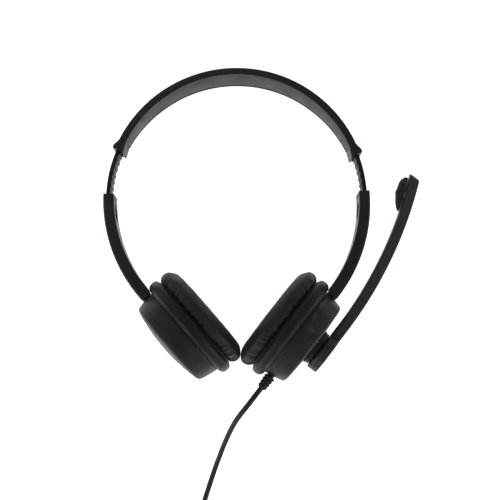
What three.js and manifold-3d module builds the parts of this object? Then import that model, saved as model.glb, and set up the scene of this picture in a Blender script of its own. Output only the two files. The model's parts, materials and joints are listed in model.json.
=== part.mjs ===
// Office headset: a headband with two sliding arms, two tilting and swivelling ear cups, a boom microphone
// and a USB cord. It lies on its back: +Z up, +Y from the cups to the crown, +X towards the boom side.
// Millimetres. The origin is at the centre of the headset's footprint, on the surface it lies on.
import * as THREE from 'three';
import { mergeVertices } from 'three/addons/utils/BufferGeometryUtils.js';
import Module from 'manifold-3d';

const wasm = await Module();
wasm.setup();

// ---------------------------------------------------------------- driving dimensions
const DEG = Math.PI / 180;
const GAP = 0.3;                 // clearance between separate pieces

const BAND_RADIUS = 82;          // outer face of the headband
const BAND_HALF_ANGLE = 69;      // from the crown to the end of each collar
const BAND_LEAN = -1.25;         // the crown's turn about the depth axis
const BAND_THICK = 4.9;          // radial depth at the ends
const CROWN_THINNER = 0.3;       // the crown is thinner by this much
const CROWN_WIDTH = 25.4;
const END_WIDTH = 19;
const COLLAR_ANGLE = 4.8;        // arc that each collar covers
const BEAD_RISE = 1.7;           // thumb bead on the collar

const STRIP_OUT = 81;            // outer face of the slider strip
const STRIP_THICK = 2.45;
const STRIP_WIDTH = 13;
const STRIP_TAIL = 27.7;         // degrees of strip above the arm's top
const NOTCH_PITCH = 3.05;        // degrees
const NOTCH_RISE = 0.45;
const ARM_TOP = { right: 2.96, left: 1.86 };     // where each arm's top stands on the band's circle
const ARM_FLEX = { right: 1.05, left: -0.55 };   // splay of each arm from the mean, about its top

const ARM_CENTRE = [-12.06, -0.4];
const ARM_RADIUS = 94.75;        // outer face
const ARM_TOP_THICK = 6.8;
const ARM_END_THICK = 7.6;
const ARM_WIDTH = 18;
const ARM_START = 0.24;          // degrees about the arm's centre
const ARM_END = -44.6;
const PIVOT_ANGLE = -45.05;      // the tilt pin, about the same centre
const PIVOT_RADIUS = 91.1;

const CUP_TILT = -42.35;          // the cup axis, from +X, before the side's own angles
const PIVOT_UP = 28.4;           // the tilt pin above the cup axis
const PIVOT_OUT = 3.4;           // the tilt pin outwards from the seam plane
const HOUSING_RADIUS = 31;
const BAFFLE_RADIUS = 35.3;
const PAD_RADIUS = 34.8;
const PAD_FACE = -20.6;          // along the cup axis, from the seam between baffle and housing
const PAD_BACK = -8.65;
const PAD_HOLE = 15.2;

const BOOM_LEVEL = 21.05;         // mid-plane of the boom's hub
const BOOM_THICK = 6.6;
const BOOM_STRAIGHT = 18;
const BOOM_BEND = 259;
const BOOM_LENGTH = 109;         // along the bend
const HUB_RADIUS = 12.4;
const ROUND = 32;                // sides of the large turned pieces

const LIE_BACK = -7.2;           // the headset's turn about +X as it lies on its back
const CORD_RADIUS = 1.65;
const RELIEF_OUT = 4.05;         // strain relief's axis, outwards from the seam plane
const RELIEF_END = 40.5;
const COIL_INNER = 12;
const COIL_OUTER = 26;
const COIL_HEIGHT = 13.7;
const COIL_LIFT = 1.3;           // the tie under the coil holds it this high
const COIL_CENTRE = [-22.25, -223];
const TIE_WIDTH = 7;
const TIE_ANGLE = 35;            // where the tie sits round the coil

// ---------------------------------------------------------------- materials
const material = (color, roughness, metalness = 0) =>
  new THREE.MeshStandardMaterial({ color, roughness, metalness });
const satinBlack = () => material(0x1d1f21, 0.42);
const linerGrey = () => material(0x2c2d30, 0.5);
const softBlack = () => material(0x1a1a1c, 0.6);
const rubberBlack = () => material(0x161718, 0.75);
const steel = () => material(0xa9abae, 0.35, 1);

// ---------------------------------------------------------------- geometry helpers
function orient(geometry) {
  // turns a closed mesh the right way round if its faces point inwards
  const p = geometry.attributes.position;
  const index = geometry.index.array;
  const [a, b, c] = [new THREE.Vector3(), new THREE.Vector3(), new THREE.Vector3()];
  let volume = 0;
  for (let i = 0; i < index.length; i += 3) {
    a.fromBufferAttribute(p, index[i]);
    b.fromBufferAttribute(p, index[i + 1]);
    c.fromBufferAttribute(p, index[i + 2]);
    volume += a.dot(b.cross(c));
  }
  if (volume < 0) {
    for (let i = 0; i < index.length; i += 3) {
      [index[i], index[i + 1]] = [index[i + 1], index[i]];
    }
  }
  return geometry;
}

function closed(geometry) {
  // merges shared corners, leaving positions only
  geometry.deleteAttribute('normal');
  geometry.deleteAttribute('uv');
  return orient(mergeVertices(geometry, 1e-4));
}

function solid(geometry) {
  const g = closed(geometry);
  return new wasm.Manifold(new wasm.Mesh({
    numProp: 3,
    vertProperties: new Float32Array(g.attributes.position.array),
    triVerts: new Uint32Array(g.index.array),
  }));
}

function geometryOf(manifold) {
  const mesh = manifold.getMesh();
  const g = new THREE.BufferGeometry();
  g.setAttribute('position', new THREE.BufferAttribute(new Float32Array(mesh.vertProperties), 3));
  g.setIndex(new THREE.BufferAttribute(new Uint32Array(mesh.triVerts), 1));
  return g;
}

function cut(geometry, tools) {
  return geometryOf(tools.reduce((body, tool) => body.subtract(solid(tool)), solid(geometry)));
}

function join(geometries) {
  return geometryOf(geometries.map(solid).reduce((body, other) => body.add(other)));
}

function common(a, b) {
  return geometryOf(solid(a).intersect(solid(b)));
}

// A section swept round an arc. Section points are [radius, z]; shape(angle, r, z) may alter them.
function sweep(section, from, to, steps, alter = (angle, r, z) => [r, z], centre = [0, 0]) {
  const outline = section.outer ?? section;
  const shape = new THREE.Shape(outline.map(([r, z]) => new THREE.Vector2(r, z)));
  if (section.hole) {
    shape.holes.push(new THREE.Path(section.hole.map(([r, z]) => new THREE.Vector2(r, z))));
  }
  const g = new THREE.ExtrudeGeometry(shape, { depth: 1, steps, bevelEnabled: false });
  const p = g.attributes.position;
  for (let i = 0; i < p.count; i++) {
    const angle = from + (to - from) * p.getZ(i);
    const [r, z] = alter(angle, p.getX(i), p.getY(i));
    p.setXYZ(i, centre[0] + r * Math.cos(angle * DEG), centre[1] + r * Math.sin(angle * DEG), z);
  }
  return closed(g);
}

// A flat outline in X and Y, extruded along Z about the plane z = 0.
function plate(points, width, holes = []) {
  const shape = new THREE.Shape(points.map(([x, y]) => new THREE.Vector2(x, y)));
  for (const hole of holes) {
    shape.holes.push(new THREE.Path(hole.map(([x, y]) => new THREE.Vector2(x, y))));
  }
  const g = new THREE.ExtrudeGeometry(shape, { depth: width, bevelEnabled: false });
  return closed(g.translate(0, 0, -width / 2));
}

function box(x0, x1, y0, y1, z0, z1) {
  const g = new THREE.BoxGeometry(x1 - x0, y1 - y0, z1 - z0);
  return closed(g.translate((x0 + x1) / 2, (y0 + y1) / 2, (z0 + z1) / 2));
}

// A turned piece: profile points are [radius, height], and the axis is +Y.
function turned(profile, segments = 32) {
  return closed(new THREE.LatheGeometry(profile.map(([r, y]) => new THREE.Vector2(r, y)), segments));
}

// A turned ring, whose profile closes on itself away from the axis.
function ring(profile, segments = 32) {
  return turned([...profile, profile[0]], segments);
}

// A rod along +Y between two heights, at an optional place.
function rod(radius, from, to, segments = 12, x = 0, z = 0) {
  const g = new THREE.CylinderGeometry(radius, radius, to - from, segments);
  return closed(g.translate(x, (from + to) / 2, z));
}

function rectangle(a, b, r = 0) {
  // half sizes a and b, with corners cut by r
  return [[a - r, b], [a, b - r], [a, r - b], [a - r, -b], [r - a, -b], [-a, r - b], [-a, b - r], [r - a, b]];
}

function arc(cx, cy, radius, from, to, count) {
  return Array.from({ length: count + 1 }, (_, i) => {
    const angle = (from + ((to - from) * i) / count) * DEG;
    return [cx + radius * Math.cos(angle), cy + radius * Math.sin(angle)];
  });
}

function piece(name, geometry, look, parent) {
  const mesh = new THREE.Mesh(closed(geometry), look());
  mesh.name = name;
  parent.add(mesh);
  return mesh;
}

// ---------------------------------------------------------------- headband
const bandHalfWidth = (angle) =>
  (CROWN_WIDTH - (CROWN_WIDTH - END_WIDTH) * ((angle - 90) / BAND_HALF_ANGLE) ** 2) / 2;
const crownRise = (angle) => CROWN_THINNER * (1 - Math.min(1, Math.abs(angle - 90) / 36) ** 2);
const BAND_INNER = BAND_RADIUS - BAND_THICK;
const WALL_INNER = 81.3;         // inside of the band's outer wall
const LINER_OUT = 77.8;          // back of the liner plate

// Section z values are in half widths, so the band narrows towards its ends.
const bandShape = (angle, r, z) => [r + (r < 79 ? crownRise(angle) : 0), z * bandHalfWidth(angle)];

function buildBand(parent) {
  const collarStart = 90 + BAND_HALF_ANGLE - COLLAR_ANGLE;
  const shellEnd = BAND_HALF_ANGLE - COLLAR_ANGLE - 0.25;
  const shell = [
    [BAND_INNER, 1], [81.4, 1], [81.8, 0.96], [82, 0.89], [82, -0.89], [81.8, -0.96], [81.4, -1],
    [BAND_INNER, -1], [BAND_INNER, -0.88], [WALL_INNER, -0.88], [WALL_INNER, 0.88], [BAND_INNER, 0.88],
  ];
  const liner = rectangle((LINER_OUT - BAND_INNER - 0.15) / 2, 0.85)
    .map(([r, z]) => [r + (LINER_OUT + BAND_INNER + 0.15) / 2, z]);
  piece('headband_shell', sweep(shell, 90 + shellEnd, 90 - shellEnd, 32, bandShape), satinBlack, parent);
  piece('headband_liner', sweep(liner, 90 + shellEnd, 90 - shellEnd, 32, bandShape), linerGrey, parent);
  const spring = rectangle(0.3, 5).map(([r, z]) => [r + 80.45, z]);
  piece('headband_spring', sweep(spring, 127, 53, 18), steel, parent);

  const collar = {
    outer: [[76, 0.92], [76.5, 1], [81.4, 1.02], [82, 0.9], [82, -0.9], [81.4, -1.02], [76.5, -1], [76, -0.92]],
    hole: [[77.8, 0.72], [77.8, -0.72], [81.3, -0.72], [81.3, 0.72]],
  };
  const collarShape = (angle, r, z) => {
    const along = (angle - collarStart) / COLLAR_ANGLE;
    const bead = along < 0.8 ? Math.sin((along / 0.8) * 90 * DEG) ** 2 : 1 - 12 * (along - 0.8) ** 2;
    const out = r > 81 ? BEAD_RISE * bead * ((r - 81) / (BAND_RADIUS - 81)) : 0;
    const inward = r < 77 ? 1.1 * (1 - along) : 0;
    return [r + out + inward, z * bandHalfWidth(angle)];
  };
  for (const [side, turn] of [['left', 0], ['right', 180]]) {
    const mesh = piece(
      `collar_${side}`,
      sweep(collar, collarStart + COLLAR_ANGLE, collarStart, 8, collarShape),
      satinBlack,
      parent,
    );
    // the right collar is the left one turned over about the crown's radius
    mesh.rotation.y = turn * DEG;
  }
}

// ---------------------------------------------------------------- slider and arm
const armThick = (angle) => {
  const along = (ARM_START - angle) / (ARM_START - ARM_END);
  return ARM_TOP_THICK + (ARM_END_THICK - ARM_TOP_THICK) * along;
};
const PIVOT = [
  ARM_CENTRE[0] + PIVOT_RADIUS * Math.cos(PIVOT_ANGLE * DEG),
  ARM_CENTRE[1] + PIVOT_RADIUS * Math.sin(PIVOT_ANGLE * DEG),
];
const SCREW_ANGLE = -4.4;        // arm screw, about the arm's centre

function stripOutline() {
  const inner = STRIP_OUT - STRIP_THICK;
  const points = arc(0, 0, STRIP_OUT, -7, STRIP_TAIL, 12);
  const at = (r, angle) => points.push([r * Math.cos(angle * DEG), r * Math.sin(angle * DEG)]);
  at(inner, STRIP_TAIL);
  for (let angle = STRIP_TAIL - 1.6; angle > 2; angle -= NOTCH_PITCH) {
    at(inner, angle);
    at(inner - NOTCH_RISE, angle - 0.5);
    at(inner - NOTCH_RISE, angle - 1.1);
    at(inner, angle - 1.6);
  }
  at(inner, -2.5);
  at(inner, -7);
  return points;
}

// Arm section values: r as depth below the outer face in parts of the arm's thickness, z in mm.
const armShape = (angle, depth, z) => [ARM_RADIUS - depth * armThick(angle), z];

function buildSlider(side, parent) {
  // the screw's own frame: +Y from the inner face outwards, along the arm's radius
  const place = (geometry) => closed(geometry
    .rotateZ((SCREW_ANGLE - 90) * DEG)
    .translate(
      ARM_CENTRE[0] + 88.6 * Math.cos(SCREW_ANGLE * DEG),
      ARM_CENTRE[1] + 88.6 * Math.sin(SCREW_ANGLE * DEG),
      0,
    ));
  const strip = cut(plate(stripOutline(), STRIP_WIDTH), [place(rod(1.4, -2, 8))]);
  piece(`slider_strip_${side}`, strip, softBlack, parent);

  const arm = new THREE.Group();
  const top = [ARM_CENTRE[0] + ARM_RADIUS, ARM_CENTRE[1]];
  arm.position.set(top[0], top[1], 0);
  arm.rotation.z = ARM_FLEX[side] * DEG;
  const bench = new THREE.Group();
  bench.position.set(-top[0], -top[1], 0);
  arm.add(bench);
  parent.add(arm);

  const half = ARM_WIDTH / 2;
  const outside = [
    [1, half], [0.22, half], [0.06, half - 0.4], [0, half - 1.3],
    [0, 1.3 - half], [0.06, 0.4 - half], [0.22, -half], [1, -half],
  ];
  const body = sweep(outside, ARM_START, ARM_END, 18, armShape, ARM_CENTRE);
  const hollow = sweep(
    [[1.3, 7.6], [0.22, 7.6], [0.22, -7.6], [1.3, -7.6]], ARM_START - 1.3, -38, 16, armShape, ARM_CENTRE);
  const stripSlot = box(78.2, 81.3, -4, 2, -6.9, 6.9);

  // the neck that goes into the cup, with the tilt pin's hole
  const along = PIVOT_ANGLE - 90;
  const neckOutline = [
    ...arc(PIVOT[0], PIVOT[1], 2.2, along - 90, along + 90, 8),
    [PIVOT[0] + 2.2 * Math.cos((along + 90) * DEG) - 5 * Math.cos(along * DEG),
      PIVOT[1] + 2.2 * Math.sin((along + 90) * DEG) - 5 * Math.sin(along * DEG)],
    [PIVOT[0] + 2.2 * Math.cos((along - 90) * DEG) - 5 * Math.cos(along * DEG),
      PIVOT[1] + 2.2 * Math.sin((along - 90) * DEG) - 5 * Math.sin(along * DEG)],
  ];
  const neck = plate(neckOutline, 6, [arc(PIVOT[0], PIVOT[1], 1.55, 0, 330, 11)]);
  // room for the rim of the baffle, which the end of the arm reaches over, and for the housing
  const rim = placeCup(rod(BAFFLE_RADIUS + 1.2, -9, 0.8, 48));
  const wall = placeCup(rod(HOUSING_RADIUS + 0.65, 0, 12, 48));
  const shell = join([cut(body, [hollow, stripSlot, rim, wall]), neck]);
  piece(`arm_shell_${side}`, shell, satinBlack, bench);

  const coverSection = [[1, 7.3], [0.8, 7.3], [0.8, -7.3], [1, -7.3]];
  const cover = cut(
    sweep(coverSection, ARM_START - 1.6, -37.7, 16, armShape, ARM_CENTRE),
    [place(rod(2.5, -1.5, 0.6, 14)), place(rod(1.4, -1, 3))],
  );
  piece(`arm_cover_${side}`, cover, linerGrey, bench);
  const screw = turned([[0, -0.1], [2.1, -0.1], [2.1, 0.3], [1.1, 0.35], [1.1, 4.2], [0, 4.2]], 12);
  piece(`arm_screw_${side}`, place(screw), steel, bench);
  return bench;
}

// ---------------------------------------------------------------- ear cup
const CUP_TURN = (CUP_TILT - 90) * DEG;
const CUP_CENTRE = [
  PIVOT[0] + PIVOT_UP * Math.cos(CUP_TURN) - PIVOT_OUT * Math.cos(CUP_TILT * DEG),
  PIVOT[1] + PIVOT_UP * Math.sin(CUP_TURN) - PIVOT_OUT * Math.sin(CUP_TILT * DEG),
];

// moves a geometry from the cup's frame (+X down the face, +Y outwards) to the arm's frame
function placeCup(geometry) {
  return closed(geometry.rotateZ(CUP_TURN).translate(CUP_CENTRE[0], CUP_CENTRE[1], 0));
}

const along = (geometry) => closed(geometry.rotateZ(-90 * DEG));   // turns +Y to +X

function buildKnuckle(side, parent) {
  const ear = [
    ...arc(-PIVOT_UP, PIVOT_OUT, 2.3, 90, 270, 8),
    [-PIVOT_UP + 4.8, PIVOT_OUT - 2.3],
    [-PIVOT_UP + 4.8, PIVOT_OUT + 2.3],
  ];
  const pinHole = arc(-PIVOT_UP, PIVOT_OUT, 1.55, 0, 330, 11);
  const slot = box(-PIVOT_UP - 4, -PIVOT_UP + 2.7, 0, 7, -3.3, 3.3);
  const stud = along(rod(1.9, 0, 9, 14)).translate(-PIVOT_UP + 4.5, PIVOT_OUT, 0);
  piece(`knuckle_${side}`, join([cut(plate(ear, 11.2, [pinHole]), [slot]), stud]), softBlack, parent);
  const pin = rod(1.25, -5.6, 5.6, 12).rotateX(90 * DEG).translate(-PIVOT_UP, PIVOT_OUT, 0);
  piece(`tilt_pin_${side}`, pin, steel, parent);
  const clip = ring([[2.2, 0], [3.5, 0], [3.5, 0.9], [2.2, 0.9]], 16);
  piece(`swivel_clip_${side}`, along(clip).translate(-PIVOT_UP + 9.9, PIVOT_OUT, 0), steel, parent);
}

const SCREW_SPOTS = [['front', 20.5], ['rear', -20.5]];

function buildCup(side, parent) {
  const boomSide = side === 'right';
  const dome = boomSide ? 1.2 : 3.2;

  // housing: a tapered wall and a back plate, with the knuckle's slot and bearing block
  const wall = ring([
    [HOUSING_RADIUS, 0.2], [30.6, 3.5], [29.5, 9], [28.6, 11.9], [28.1, 12.4], [27.75, 12.4],
    [27.75, 11.2], [5, 11.2], [5, 9.9], [27, 9.9], [29.2, 0.2],
  ], ROUND);
  const block = box(-PIVOT_UP + 5.5, -PIVOT_UP + 9.5, 0.7, 10.2, -4.6, 4.6);
  const bearing = along(rod(2.25, 0, 12, 14)).translate(-PIVOT_UP + 2, PIVOT_OUT, 0);
  const neckSlot = box(-34, -24.5, -1, 6.8, -6.8, 6.8);
  const cuts = [neckSlot, bearing, ...SCREW_SPOTS.map(([, z]) => rod(1.3, 8, 13, 10, 0, z))];
  if (boomSide) {
    cuts.push(along(rod(2.65, 24, 34, 12)).translate(0, RELIEF_OUT, 0));
  }
  piece(`cup_housing_${side}`, cut(join([wall, block]), cuts), satinBlack, parent);

  // domed disc that closes the back; the boom's pivot goes through the right one
  const coverTop = 12.9 + dome;
  const skin = 1.2;
  const domeAt = (r, top) => [r, top - dome * (r / 27.4) ** 2];
  const radii = [boomSide ? 4.4 : 0, 13, 21];
  const cover = [
    ...radii.map((r) => domeAt(r, coverTop)), domeAt(26.6, coverTop), [27.4, 12.7], [27.4, 11.5],
    [25.6, 11.5], ...radii.slice().reverse().map((r) => domeAt(r, coverTop - skin)),
  ];
  piece(`cup_cover_${side}`, boomSide ? ring(cover, ROUND) : turned(cover, ROUND), satinBlack, parent);

  // baffle: a rounded rim and the plate that carries the driver
  const rim = turned([
    [0, -8.3], [33, -8.3], [34.7, -7], [BAFFLE_RADIUS, -4.4], [34.7, -1.6],
    [32.8, -GAP], [29.5, -GAP], [29.5, -6.8], [0, -6.8],
  ], ROUND);
  const posts = SCREW_SPOTS.map(([, z]) => rod(2.7, -7, -0.4, 12, 0, z));
  const pilots = SCREW_SPOTS.map(([, z]) => rod(1.2, -5.6, 1, 10, 0, z));
  const soundHoles = [[0, 0], ...arc(0, 0, 6, 0, 300, 5)].map(([x, z]) => rod(1.6, -9, -6, 8, x, z));
  piece(`baffle_${side}`, cut(join([rim, ...posts]), [...pilots, ...soundHoles]), satinBlack, parent);

  for (const [name, z] of SCREW_SPOTS) {
    const screw = turned([[0, -5.2], [0.85, -5.2], [0.85, 11.4], [2, 11.4], [2, 11.75], [0, 11.75]], 8);
    piece(`cup_screw_${name}_${side}`, screw.translate(0, 0, z), steel, parent);
  }

  // speaker driver behind the plate
  piece(`driver_frame_${side}`, ring([
    [11, -6.4], [13.6, -6.4], [13.6, -4.6], [8.7, -1.9], [8.7, 1.2], [8, 1.2], [8, -2.3], [11, -4.3],
  ], 18), steel, parent);
  piece(`driver_diaphragm_${side}`, turned([
    [0, -4.7], [5, -5.6], [8, -5.2], [10.6, -5.9], [10.6, -6.3], [8, -5.6], [5, -6], [0, -5.1],
  ], 18), softBlack, parent);
  piece(`driver_magnet_${side}`, rod(7.6, -2.1, 1.8, 18), steel, parent);

  piece(`ear_cloth_${side}`, rod(14.7, -9.1, -8.65, 18), rubberBlack, parent);
  piece(`ear_pad_${side}`, ring([
    [15.9, PAD_BACK], [32.6, PAD_BACK], [34.4, -9.7], [PAD_RADIUS, -12],
    ...arc(PAD_RADIUS - 8.7, PAD_FACE + 8.7, 8.7, 0, -90, 4),
    [20, PAD_FACE], [PAD_HOLE + 0.6, -18.2], [PAD_HOLE, -10.2],
  ], ROUND), rubberBlack, parent);
}

// ---------------------------------------------------------------- boom microphone, in the right cup's frame
function boomPoint(distance, offset) {
  // distance along the boom from its pivot, offset outwards from its centre line
  const bent = Math.max(0, distance - BOOM_STRAIGHT) / BOOM_BEND;
  const straight = Math.min(distance, BOOM_STRAIGHT);
  const radius = BOOM_BEND + offset;
  return [-straight - radius * Math.sin(bent), BOOM_LEVEL - BOOM_BEND + radius * Math.cos(bent)];
}

function boomHalf(low, high) {
  const reach = BOOM_STRAIGHT + BOOM_LENGTH;
  const stops = [-HUB_RADIUS - 1, BOOM_STRAIGHT];
  for (let i = 1; i <= 12; i++) {
    stops.push(BOOM_STRAIGHT + (BOOM_LENGTH * i) / 12);
  }
  // the tip is cut on a slant, longer on the mouth side
  const slant = (s, offset) => boomPoint(Math.min(s, reach - 0.45 * (offset + BOOM_THICK / 2)), offset);
  const side = [
    ...stops.map((s) => slant(s, high)),
    ...stops.slice().reverse().map((s) => slant(s, low)),
  ];
  // plan: round hub, tapering arm, round tip
  const foot = 26;
  const plan = [
    ...arc(0, 0, HUB_RADIUS, 140, -140, 20),
    [-foot, -5.6], [-reach + 8, -4.8], [-reach + 3.4, -3.6],
    [-reach + 3.4, 3.6], [-reach + 8, 4.8], [-foot, 5.6],
  ];
  return common(
    plate(side, 40),
    plate(plan.map(([x, z]) => [x, -z]), 80).rotateX(90 * DEG),
  );
}

const MIC_AT = BOOM_STRAIGHT + 95;

function buildBoom(parent, base) {
  const halfThick = BOOM_THICK / 2;
  // frame at the microphone: +Y towards the mouth side, along the boom's inner normal
  const bent = (MIC_AT - BOOM_STRAIGHT) / BOOM_BEND;
  const atMic = (geometry) => {
    const [x, y] = boomPoint(MIC_AT, -halfThick);
    return closed(geometry.rotateX(180 * DEG).rotateZ(bent).translate(x, y, 0));
  };
  const inner = cut(boomHalf(-halfThick, -0.15), [
    rod(4.2, 15, 25, 20), rod(6, BOOM_LEVEL - 1.15, 25, 20), atMic(rod(3.4, -2.9, 1, 16)),
  ]);
  piece('boom_inner_half', inner, satinBlack, parent);
  const outer = cut(boomHalf(0.15, halfThick), [rod(6, 19, BOOM_LEVEL + 1.3, 20)]);
  piece('boom_outer_half', outer, satinBlack, parent);
  piece('mic_capsule', atMic(rod(3, -2.6, -0.3, 16)), steel, parent);
  const screen = turned([[0, 0.6], [10.7, 0.6], [11.4, 1.2], [10.8, 2.8], [8.6, 4.6], [5, 5.8], [0, 6.2]], 18);
  piece('mic_windscreen', atMic(screen.scale(1, 1, 0.5)), rubberBlack, parent);

  // fixed parts of the pivot
  const top = 14.1;
  piece('boom_base', ring([
    [4.3, top + 0.4], [11.8, top + 0.1], [11.6, 15.2], [11.2, 15.6], [11.2, 16.8], [10.7, 17.4], [4.3, 17.4],
  ], 24), satinBlack, base);
  piece('boom_axle', ring([
    [1.7, 8.2], [9, 8.2], [9, 9.5], [3.8, 9.6], [3.8, 19.8], [1.7, 19.8],
  ], 20), steel, base);
  piece('boom_screw', turned([
    [0, 12], [1.3, 12], [1.3, 20.3], [5.2, 20.3], [5.2, 21.8], [0, 21.8],
  ], 16), steel, base);
}

function buildCordExit(base) {
  const relief = [[0, 25], [3.8, 25], [3.8, 26.5], [2.3, 26.6], [2.3, 31.2]];
  for (let i = 0; i < 4; i++) {
    const x = 31.4 + i * 2.15;
    const r = 3.3 - i * 0.16;
    relief.push([r, x], [r, x + 1.4], [r - 0.5, x + 1.5], [r - 0.5, x + 2]);
  }
  relief.push([2.3, RELIEF_END], [0, RELIEF_END]);
  const mesh = piece('strain_relief', along(turned(relief, 12)), rubberBlack, base);
  mesh.position.y = RELIEF_OUT;
  piece('terminal_board', box(10.4, 22, 7, 8.2, -6, 6), linerGrey, base);
}

// ---------------------------------------------------------------- assembly
const model = new THREE.Group();
const headset = new THREE.Group();
headset.rotation.x = LIE_BACK * DEG;
model.add(headset);

const band = new THREE.Group();
band.rotation.z = BAND_LEAN * DEG;
headset.add(band);
buildBand(band);

const cups = {};
for (const side of ['left', 'right']) {
  const flank = new THREE.Group();
  flank.rotation.y = side === 'left' ? Math.PI : 0;
  const slider = new THREE.Group();
  slider.rotation.z = ARM_TOP[side] * DEG;
  flank.add(slider);
  headset.add(flank);
  const bench = buildSlider(side, slider);
  const cup = new THREE.Group();
  cup.position.set(CUP_CENTRE[0], CUP_CENTRE[1], 0);
  cup.rotation.z = CUP_TURN;
  bench.add(cup);
  buildKnuckle(side, cup);
  buildCup(side, cup);
  cups[side] = cup;
}
buildBoom(cups.right, cups.right);
buildCordExit(cups.right);

// stand the headset on z = 0, centred over its footprint
model.updateMatrixWorld(true);
const extent = new THREE.Box3().setFromObject(headset, true);
headset.position.set(
  -(extent.min.x + extent.max.x) / 2,
  -(extent.min.y + extent.max.y) / 2,
  -extent.min.z,
);
model.updateMatrixWorld(true);

// ---------------------------------------------------------------- cord
// The cord leaves the strain relief, comes down to the surface and runs to a tied coil, with the plug beside it.
// Route points are [x, y, z] on the cord's centre line.
const LYING = CORD_RADIUS + 0.1;
const ROUTE = [
  [-10, -109.8, 39.4], [-13.9, -115, 36.6], [-17.2, -120.3, 32.2], [-20, -126, 26.9], [-22.5, -132, 21.4],
  [-25, -138.5, 15.9], [-27.4, -145.3, 10.9], [-29.9, -152.4, 6.7], [-32.4, -160, 3.7], [-35, -168, 2.2],
  [-37.7, -176.5, LYING], [-40.5, -185.5, LYING], [-43, -194, LYING], [-45.2, -202, LYING],
  [-46.4, -209, LYING],
];
const TAIL = [
  [-7, -247.3, 13], [-2, -247.5, 12.2], [4, -247.8, 10.6], [10, -248.2, 8.4], [16, -248.6, 6.3],
  [22, -248.9, 4.8], [28, -249, 4.3],
];
const PLUG_AT = [28.3, -249, 4.3];

function tube(points, steps) {
  const section = new THREE.Shape(arc(0, 0, CORD_RADIUS, 0, 315, 7).map(([x, y]) => new THREE.Vector2(x, y)));
  const path = new THREE.CatmullRomCurve3(points, false, 'centripetal');
  return new THREE.ExtrudeGeometry(section, { steps, extrudePath: path, bevelEnabled: false });
}

function buildCord(parent) {
  const start = cups.right.localToWorld(new THREE.Vector3(RELIEF_END + GAP, RELIEF_OUT, 0));
  const ahead = cups.right.localToWorld(new THREE.Vector3(RELIEF_END + 7, RELIEF_OUT, 0));
  const route = [start, ahead, ...ROUTE.map(([x, y, z]) => new THREE.Vector3(x, y, z))];
  piece('cord_tube', tube(route, 28), rubberBlack, parent);
  piece('cord_tail', tube(TAIL.map(([x, y, z]) => new THREE.Vector3(x, y, z)), 8), rubberBlack, parent);

  const [cx, cy] = COIL_CENTRE;
  const low = COIL_LIFT;
  const high = COIL_LIFT + COIL_HEIGHT;
  const coil = ring([
    [COIL_INNER + 1.5, low], [COIL_OUTER - 1.5, low], [COIL_OUTER, low + 1.5], [COIL_OUTER, high - 1.5],
    [COIL_OUTER - 1.5, high], [COIL_INNER + 1.5, high], [COIL_INNER, high - 1.5], [COIL_INNER, low + 1.5],
  ], 28);
  const coilMesh = piece('cord_coil', coil.rotateX(90 * DEG), rubberBlack, parent);
  coilMesh.position.set(cx, cy, 0);

  // the tie goes round the coil's turns at one place
  const tieHole = rectangle((COIL_OUTER - COIL_INNER) / 2 + 0.7, COIL_HEIGHT / 2 + GAP)
    .map(([x, y]) => [x + (COIL_OUTER + COIL_INNER) / 2 - GAP, y + (low + high) / 2])
    .reverse();
  const tieEdge = rectangle((COIL_OUTER - COIL_INNER) / 2 + 1.6, COIL_HEIGHT / 2 + 1.2, 1)
    .map(([x, y]) => [x + (COIL_OUTER + COIL_INNER) / 2 - GAP, y + (low + high) / 2]);
  const tie = plate(tieEdge, TIE_WIDTH, [tieHole]).rotateX(90 * DEG).rotateZ(TIE_ANGLE * DEG);
  const tieMesh = piece('cord_tie', tie, softBlack, parent);
  tieMesh.position.set(cx, cy, 0);

  // the plug lies flat, pointing along +X
  const plug = new THREE.Group();
  plug.position.set(...PLUG_AT);
  parent.add(plug);
  const neck = turned([[0, 0], [2.3, 0], [3.2, 9.2], [0, 9.2]], 12).rotateZ(-90 * DEG);
  const grip = plate([[9, -7], [10.5, -8], [35, -8], [36, -7], [36, 7], [35, 8], [10.5, 8], [9, 7]], 8.2);
  const pocket = box(31, 40, -6.3, 6.3, -2.55, 2.55);
  piece('usb_plug_grip', cut(join([neck, grip]), [pocket]), rubberBlack, plug);
  const shell = cut(box(31.3, 48, -6, 6, -2.25, 2.25), [box(32, 49, -5.65, 5.65, -1.9, 1.9)]);
  piece('usb_plug_shell', shell, steel, plug);
  piece('usb_plug_tongue', box(32.4, 47.4, -5.3, 5.3, -1.6, 0.2), softBlack, plug);
}
buildCord(model);

export default model;
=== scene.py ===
"""Looks of the office headset: headband, sliding arms, ear cups, boom microphone and USB cord.

Lengths are in millimetres in each part's own frame, and metres once a mesh is placed in the row frame.
"""

import json
import math

import bmesh
import bpy
from mathutils import Matrix, Vector, noise


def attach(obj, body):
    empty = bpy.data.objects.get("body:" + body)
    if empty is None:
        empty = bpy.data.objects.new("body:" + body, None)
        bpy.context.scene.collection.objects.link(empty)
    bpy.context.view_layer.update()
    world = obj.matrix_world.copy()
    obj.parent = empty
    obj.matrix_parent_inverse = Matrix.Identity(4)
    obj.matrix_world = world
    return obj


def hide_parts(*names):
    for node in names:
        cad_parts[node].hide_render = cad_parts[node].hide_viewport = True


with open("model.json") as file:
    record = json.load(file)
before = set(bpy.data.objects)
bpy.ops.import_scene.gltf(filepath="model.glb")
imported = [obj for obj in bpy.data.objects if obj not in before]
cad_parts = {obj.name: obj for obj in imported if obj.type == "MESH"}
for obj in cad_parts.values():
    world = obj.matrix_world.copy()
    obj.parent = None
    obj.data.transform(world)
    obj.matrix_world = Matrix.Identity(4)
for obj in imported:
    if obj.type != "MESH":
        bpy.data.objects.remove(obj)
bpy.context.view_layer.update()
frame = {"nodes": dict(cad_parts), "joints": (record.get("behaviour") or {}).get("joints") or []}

# ---------------------------------------------------------------- dimensions, as in the CAD
DEG = math.pi / 180
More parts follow.
